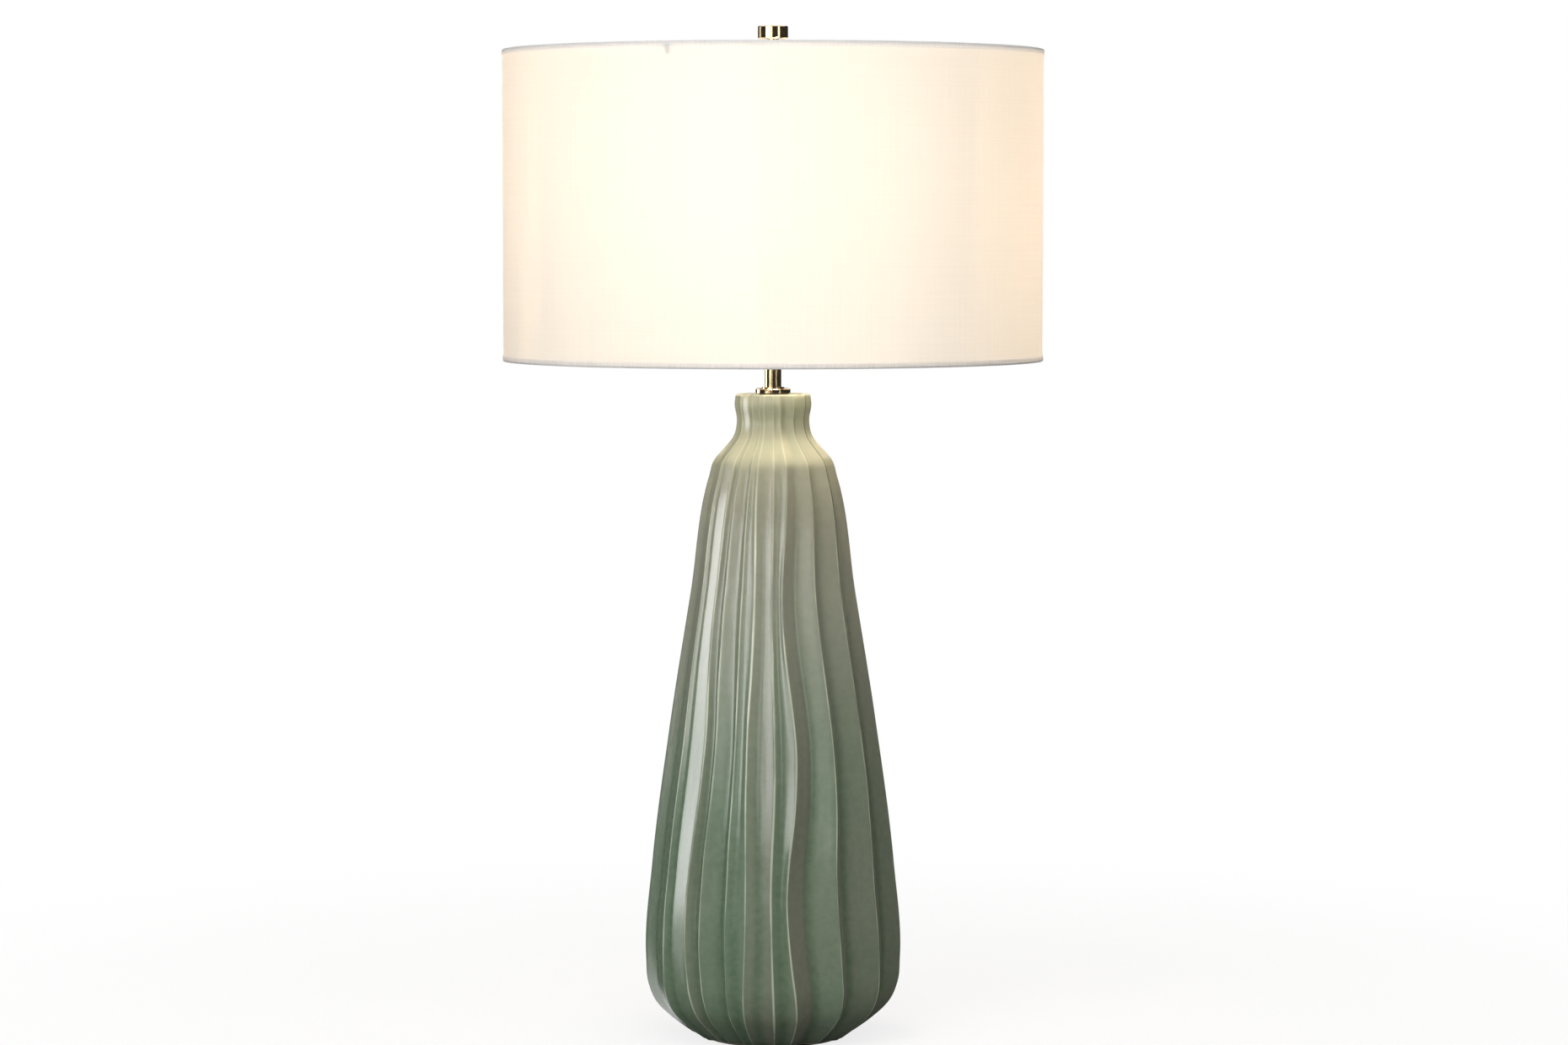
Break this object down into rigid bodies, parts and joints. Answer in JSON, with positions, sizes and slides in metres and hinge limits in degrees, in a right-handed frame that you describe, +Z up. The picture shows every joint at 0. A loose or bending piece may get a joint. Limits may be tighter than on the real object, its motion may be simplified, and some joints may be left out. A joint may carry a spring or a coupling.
{
  "type": "pleated ceramic table lamp",
  "caption": "Tall pear-shaped table lamp with a pleated, pale green glazed ceramic body, brass neck, harp and white drum shade.",
  "frame": {"origin": "bottom centre of the felt ring under the foot, on the lamp's axis, where the lamp stands", "axes": "+Z up along the lamp's axis, -Y towards the viewer (the switch side), +X to the viewer's right"},
  "size_m": [0.4571, 0.4572, 0.8598],
  "materials": {
    "vase": "satin",
    "foot_pad": "felt",
    "cord_grommet": "matte",
    "zinc_steel": "zinc plated",
    "neck_gasket": "matte",
    "polished_brass": "polished",
    "socket_brass": "satin",
    "socket_insulator": "matte",
    "socket_body": "moulded",
    "contact_brass": "plain",
    "screw_shell": "plain",
    "switch_knob": "moulded",
    "harp": "satin",
    "shade_fabric": "linen weave",
    "shade_liner": "translucent",
    "hem_tape": "linen tape",
    "painted_wire": "white enamel",
    "bulb_glass": "opal",
    "bulb_cap": "nickel plated",
    "bulb_insulator": "black glass"
  },
  "bodies": {
    "base": {"vase": "vase", "foot_pad": "foot_pad", "cord_grommet": "cord_grommet", "neck_washer": "zinc_steel", "neck_lock_washer": "zinc_steel", "neck_nut": "zinc_steel", "threaded_tube": "zinc_steel", "neck_gasket": "neck_gasket", "collar": "polished_brass", "neck_tube": "polished_brass", "harp_saddle": "harp", "harp": "harp", "harp_stud": "harp", "socket_cap": "socket_brass", "socket_set_screw": "zinc_steel", "socket_shell": "socket_brass", "socket_insulator": "socket_insulator", "socket_body": "socket_body", "terminal_screws": "contact_brass", "screw_shell": "screw_shell", "centre_contact": "contact_brass"},
    "shade": {"shade_fabric": "shade_fabric", "shade_liner": "shade_liner", "bottom_hem": "hem_tape", "top_hem": "hem_tape", "bottom_ring": "painted_wire", "top_ring": "painted_wire", "spider_frame": "painted_wire"},
    "finial": {"finial": "polished_brass"},
    "bulb": {"bulb_glass": "bulb_glass", "bulb_cap": "bulb_cap", "bulb_insulator": "bulb_insulator", "bulb_contact": "contact_brass"},
    "switch_key": {"switch_spindle": "zinc_steel", "switch_knob": "switch_knob"},
    "ferrule_left": {"ferrule_left": "harp"},
    "ferrule_right": {"ferrule_right": "harp"}
  },
  "joints": [
    {"name": "shade_turn", "type": "hinge", "parent": "base", "child": "shade", "pos_m": [0, 0, 0.8254], "axis": [0, 0, 1], "continuous": true},
    {"name": "finial_turn", "type": "hinge", "parent": "base", "child": "finial", "pos_m": [0, 0, 0.827], "axis": [0, 0, 1], "range_deg": [0, 2520]},
    {"name": "bulb_turn", "type": "hinge", "parent": "base", "child": "bulb", "pos_m": [0, 0, 0.635], "axis": [0, 0, 1], "range_deg": [0, 1620]},
    {"name": "switch_turn", "type": "hinge", "parent": "base", "child": "switch_key", "pos_m": [0, -0.02, 0.6212], "axis": [0, -1, 0], "continuous": true},
    {"name": "ferrule_left_slide", "type": "slide", "parent": "base", "child": "ferrule_left", "axis": [0, 0, 1], "range_m": [0, 0.012]},
    {"name": "ferrule_right_slide", "type": "slide", "parent": "base", "child": "ferrule_right", "axis": [0, 0, 1], "range_m": [0, 0.012]}
  ]
}
